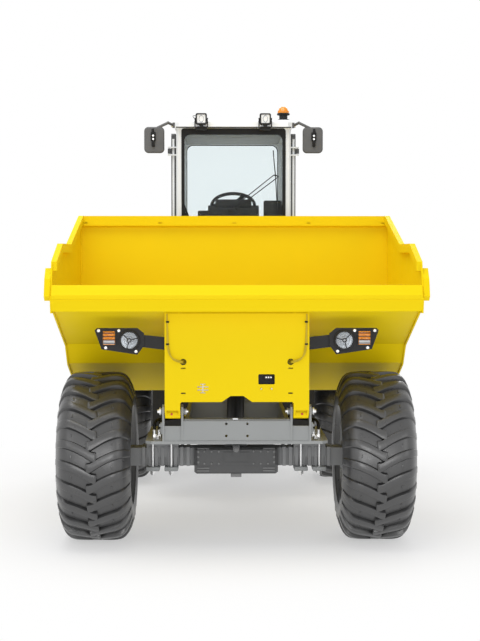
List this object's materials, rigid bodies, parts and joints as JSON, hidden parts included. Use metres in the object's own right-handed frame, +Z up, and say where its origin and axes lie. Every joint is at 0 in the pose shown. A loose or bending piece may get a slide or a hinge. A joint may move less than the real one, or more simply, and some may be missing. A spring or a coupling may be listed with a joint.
{
  "type": "site dumper",
  "caption": "Articulated site dumper with a forward-tipping skip, a glazed cab over the rear frame and four lugged tyres; steers at a centre pivot.",
  "frame": {"origin": "on the ground below the middle of the machine's outer box", "axes": "+Z up, +Y towards the engine end, +X to the driver's left; the skip lip faces -Y"},
  "size_m": [2.476, 4.49, 3.21],
  "materials": {
    "skip_yellow": "gloss paint",
    "frame_grey": "satin paint",
    "cab_grey": "satin paint",
    "roof_plastic": "moulded",
    "bonnet_plastic": "moulded",
    "cast_grey": "painted casting",
    "tank_plastic": "moulded",
    "black_plastic": "grained",
    "seat_vinyl": "vinyl cover",
    "glass": "clear",
    "lamp_lens": "clear lens",
    "amber": "amber lens",
    "red_lens": "red lens",
    "ram_paint": "satin paint",
    "ram_chrome": "polished",
    "tyre": "moulded rubber",
    "rim_grey": "satin paint"
  },
  "bodies": {
    "rear_frame": {"rear_frame": "frame_grey", "rear_axle": "cast_grey", "rear_shaft": "cast_grey", "engine_block": "cast_grey", "counterweight": "cast_grey", "side_tanks": "tank_plastic", "rear_mudguards": "frame_grey", "cab_base": "frame_grey", "cab_frame": "cab_grey", "cab_glass": "glass", "cab_roof": "roof_plastic", "dashboard": "black_plastic", "operator_seat": "seat_vinyl", "display": "black_plastic", "work_lamps": "black_plastic", "beacon_base": "black_plastic", "beacon_dome": "amber", "mirrors": "black_plastic", "wiper": "black_plastic", "tail_lamps": "red_lens"},
    "front_frame": {"front_frame": "frame_grey", "front_axle": "cast_grey", "front_shaft": "cast_grey"},
    "skip": {"skip_floor": "skip_yellow", "skip_rear_wall": "skip_yellow", "skip_lip": "skip_yellow", "skip_sides": "skip_yellow", "skip_support": "skip_yellow", "tip_ears": "skip_yellow", "lamp_brackets": "black_plastic", "headlamps": "lamp_lens", "indicators": "amber"},
    "tip_barrel": {"tip_barrel": "ram_paint"},
    "tip_rod": {"tip_rod": "ram_chrome"},
    "bonnet": {"bonnet": "bonnet_plastic"},
    "steering_wheel": {"steering_wheel": "black_plastic"},
    "steer_barrel_left": {"steer_barrel_left": "ram_paint"},
    "steer_rod_left": {"steer_rod_left": "ram_chrome"},
    "door_left": {"door_left": "cab_grey", "door_left_glass": "glass"},
    "wheel_front_left": {"tyre_front_left": "tyre", "rim_front_left": "rim_grey"},
    "wheel_rear_left": {"tyre_rear_left": "tyre", "rim_rear_left": "rim_grey"},
    "steer_barrel_right": {"steer_barrel_right": "ram_paint"},
    "steer_rod_right": {"steer_rod_right": "ram_chrome"},
    "door_right": {"door_right": "cab_grey", "door_right_glass": "glass"},
    "wheel_front_right": {"tyre_front_right": "tyre", "rim_front_right": "rim_grey"},
    "wheel_rear_right": {"tyre_rear_right": "tyre", "rim_rear_right": "rim_grey"}
  },
  "joints": [
    {"name": "articulation", "type": "hinge", "parent": "rear_frame", "child": "front_frame", "pos_m": [0, -0.225, 0.785], "axis": [0, 0, 1], "range_deg": [-33, 33]},
    {"name": "skip_tip", "type": "hinge", "parent": "front_frame", "child": "skip", "pos_m": [0, -1.98, 0.95], "axis": [1, 0, 0], "range_deg": [0, 70]},
    {"name": "tip_barrel_swing", "type": "hinge", "parent": "front_frame", "child": "tip_barrel", "pos_m": [0, -1.08, 0.715], "axis": [1, 0, 0], "range_deg": [0, 10.6]},
    {"name": "tip_rod_slide", "type": "slide", "parent": "tip_barrel", "child": "tip_rod", "axis": [0, -0.7174, 0.6967], "range_m": [0, 0.51]},
    {"name": "steer_barrel_left_swing", "type": "hinge", "parent": "rear_frame", "child": "steer_barrel_left", "pos_m": [0.26, 0.005, 0.785], "axis": [0, 0, 1], "range_deg": [-22, 22]},
    {"name": "steer_rod_left_slide", "type": "slide", "parent": "steer_barrel_left", "child": "steer_rod_left", "axis": [-0.0879, -0.9961, 0], "range_m": [-0.14, 0.14]},
    {"name": "door_left_hinge", "type": "hinge", "parent": "rear_frame", "child": "door_left", "pos_m": [0.525, 0.15, 2.24], "axis": [0, 0, 1], "range_deg": [-80, 0]},
    {"name": "wheel_front_left_spin", "type": "hinge", "parent": "front_frame", "child": "wheel_front_left", "pos_m": [0.96, -1.5, 0.5855], "axis": [1, 0, 0], "continuous": true},
    {"name": "wheel_rear_left_spin", "type": "hinge", "parent": "rear_frame", "child": "wheel_rear_left", "pos_m": [0.96, 1.05, 0.5855], "axis": [1, 0, 0], "continuous": true},
    {"name": "steer_barrel_right_swing", "type": "hinge", "parent": "rear_frame", "child": "steer_barrel_right", "pos_m": [-0.26, 0.005, 0.785], "axis": [0, 0, 1], "range_deg": [-22, 22]},
    {"name": "steer_rod_right_slide", "type": "slide", "parent": "steer_barrel_right", "child": "steer_rod_right", "axis": [0.0879, -0.9961, 0], "range_m": [-0.14, 0.14]},
    {"name": "door_right_hinge", "type": "hinge", "parent": "rear_frame", "child": "door_right", "pos_m": [-0.525, 0.15, 2.24], "axis": [0, 0, 1], "range_deg": [0, 80]},
    {"name": "wheel_front_right_spin", "type": "hinge", "parent": "front_frame", "child": "wheel_front_right", "pos_m": [-0.96, -1.5, 0.5855], "axis": [1, 0, 0], "continuous": true},
    {"name": "wheel_rear_right_spin", "type": "hinge", "parent": "rear_frame", "child": "wheel_rear_right", "pos_m": [-0.96, 1.05, 0.5855], "axis": [1, 0, 0], "continuous": true},
    {"name": "bonnet_hinge", "type": "hinge", "parent": "rear_frame", "child": "bonnet", "pos_m": [0, 1.302, 1.716], "axis": [1, 0, 0], "range_deg": [0, 60]},
    {"name": "steering_wheel_spin", "type": "hinge", "parent": "rear_frame", "child": "steering_wheel", "pos_m": [0, 0.43, 2.41], "axis": [0, 0.5, 0.866], "continuous": true}
  ],
  "couplings": [
    {"joint": "tip_barrel_swing", "follows": "skip_tip", "ratio": 0.14853},
    {"joint": "tip_rod_slide", "follows": "skip_tip", "m_per_rad": 0.41466},
    {"joint": "steer_barrel_left_swing", "follows": "articulation", "ratio": 0.64034},
    {"joint": "steer_rod_left_slide", "follows": "articulation", "m_per_rad": -0.23476},
    {"joint": "steer_barrel_right_swing", "follows": "articulation", "ratio": 0.64034},
    {"joint": "steer_rod_right_slide", "follows": "articulation", "m_per_rad": 0.23476}
  ]
}
